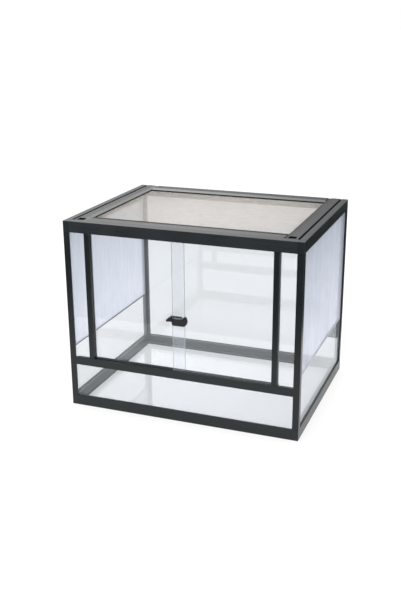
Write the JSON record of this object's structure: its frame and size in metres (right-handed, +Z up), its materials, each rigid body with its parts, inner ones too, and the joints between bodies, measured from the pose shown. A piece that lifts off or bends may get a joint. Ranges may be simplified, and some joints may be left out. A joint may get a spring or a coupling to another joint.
{
  "type": "terrarium cabinet",
  "caption": "Glass terrarium cabinet with a black hollow-profile frame, sliding glass front doors with a cam lock, and a mesh lid that slides back in grooves.",
  "frame": {"origin": "centre of the cabinet's footprint, on the plane it stands on", "axes": "+X to the cabinet's right as seen from the front, -Y towards the front doors, +Z up"},
  "size_m": [0.6, 0.4653, 0.486],
  "materials": {
    "frame_black": "black anodised profile, satin",
    "corner_black": "black moulded corner, satin",
    "lid_black": "black anodised profile, satin",
    "clear_glass": "clear float glass",
    "door_glass": "clear float glass with ground edges",
    "hazy_panel": "hazy translucent panel",
    "black_trim": "black extruded plastic",
    "lid_mesh": "fine woven steel mesh",
    "lock_plastic": "black, semi-gloss",
    "lock_steel": "ground pin",
    "lock_rubber": "matt"
  },
  "bodies": {
    "cabinet": {"base_rail_front": "frame_black", "base_rail_back": "frame_black", "base_rail_left": "frame_black", "base_rail_right": "frame_black", "top_rail_front": "frame_black", "top_rail_back": "frame_black", "top_rail_left": "frame_black", "top_rail_right": "frame_black", "corner_post_front_left": "frame_black", "corner_post_front_right": "frame_black", "corner_post_back_left": "frame_black", "corner_post_back_right": "frame_black", "door_sill_bar": "frame_black", "door_jamb_left": "frame_black", "door_jamb_right": "frame_black", "corner_connector_base_front_left": "corner_black", "corner_connector_base_front_right": "corner_black", "corner_connector_base_back_left": "corner_black", "corner_connector_base_back_right": "corner_black", "corner_connector_top_front_left": "corner_black", "corner_connector_top_front_right": "corner_black", "corner_connector_top_back_left": "corner_black", "corner_connector_top_back_right": "corner_black", "bottom_glass": "clear_glass", "back_glass": "clear_glass", "front_glass_lower": "clear_glass", "front_glass_fixed_left": "clear_glass", "front_glass_fixed_right": "clear_glass", "side_glass_lower_left": "clear_glass", "side_glass_lower_right": "clear_glass", "side_panel_upper_left": "hazy_panel", "side_panel_upper_right": "hazy_panel", "side_seam_strip_left": "black_trim", "side_seam_strip_right": "black_trim", "door_track_lower": "black_trim", "door_track_upper": "black_trim"},
    "left_door": {"door_glass_left": "door_glass"},
    "right_door": {"door_glass_right": "door_glass", "lock_body": "lock_plastic", "lock_grip_pad": "lock_rubber", "lock_pivot_pin": "lock_steel"},
    "lock_lever": {"lock_lever": "lock_plastic"},
    "lid": {"lid_mesh_strip_front": "black_trim", "lid_mesh_strip_back": "black_trim", "lid_mesh_strip_left": "black_trim", "lid_mesh_strip_right": "black_trim", "lid_corner_key_front_left": "black_trim", "lid_corner_key_front_right": "black_trim", "lid_corner_key_back_left": "black_trim", "lid_corner_key_back_right": "black_trim", "lid_frame_front": "lid_black", "lid_frame_back": "lid_black", "lid_frame_left": "lid_black", "lid_frame_right": "lid_black", "lid_mesh": "lid_mesh"}
  },
  "joints": [
    {"name": "left_door_slide", "type": "slide", "parent": "cabinet", "child": "left_door", "axis": [1, 0, 0], "range_m": [0, 0.2195]},
    {"name": "right_door_slide", "type": "slide", "parent": "cabinet", "child": "right_door", "axis": [-1, 0, 0], "range_m": [0, 0.198]},
    {"name": "lock_lever_turn", "type": "hinge", "parent": "right_door", "child": "lock_lever", "pos_m": [-0.0187, -0.2316, 0.268], "axis": [0, 0, 1], "range_deg": [0, 90]},
    {"name": "lid_slide", "type": "slide", "parent": "cabinet", "child": "lid", "axis": [0, 1, 0], "range_m": [0, 0.36]}
  ]
}
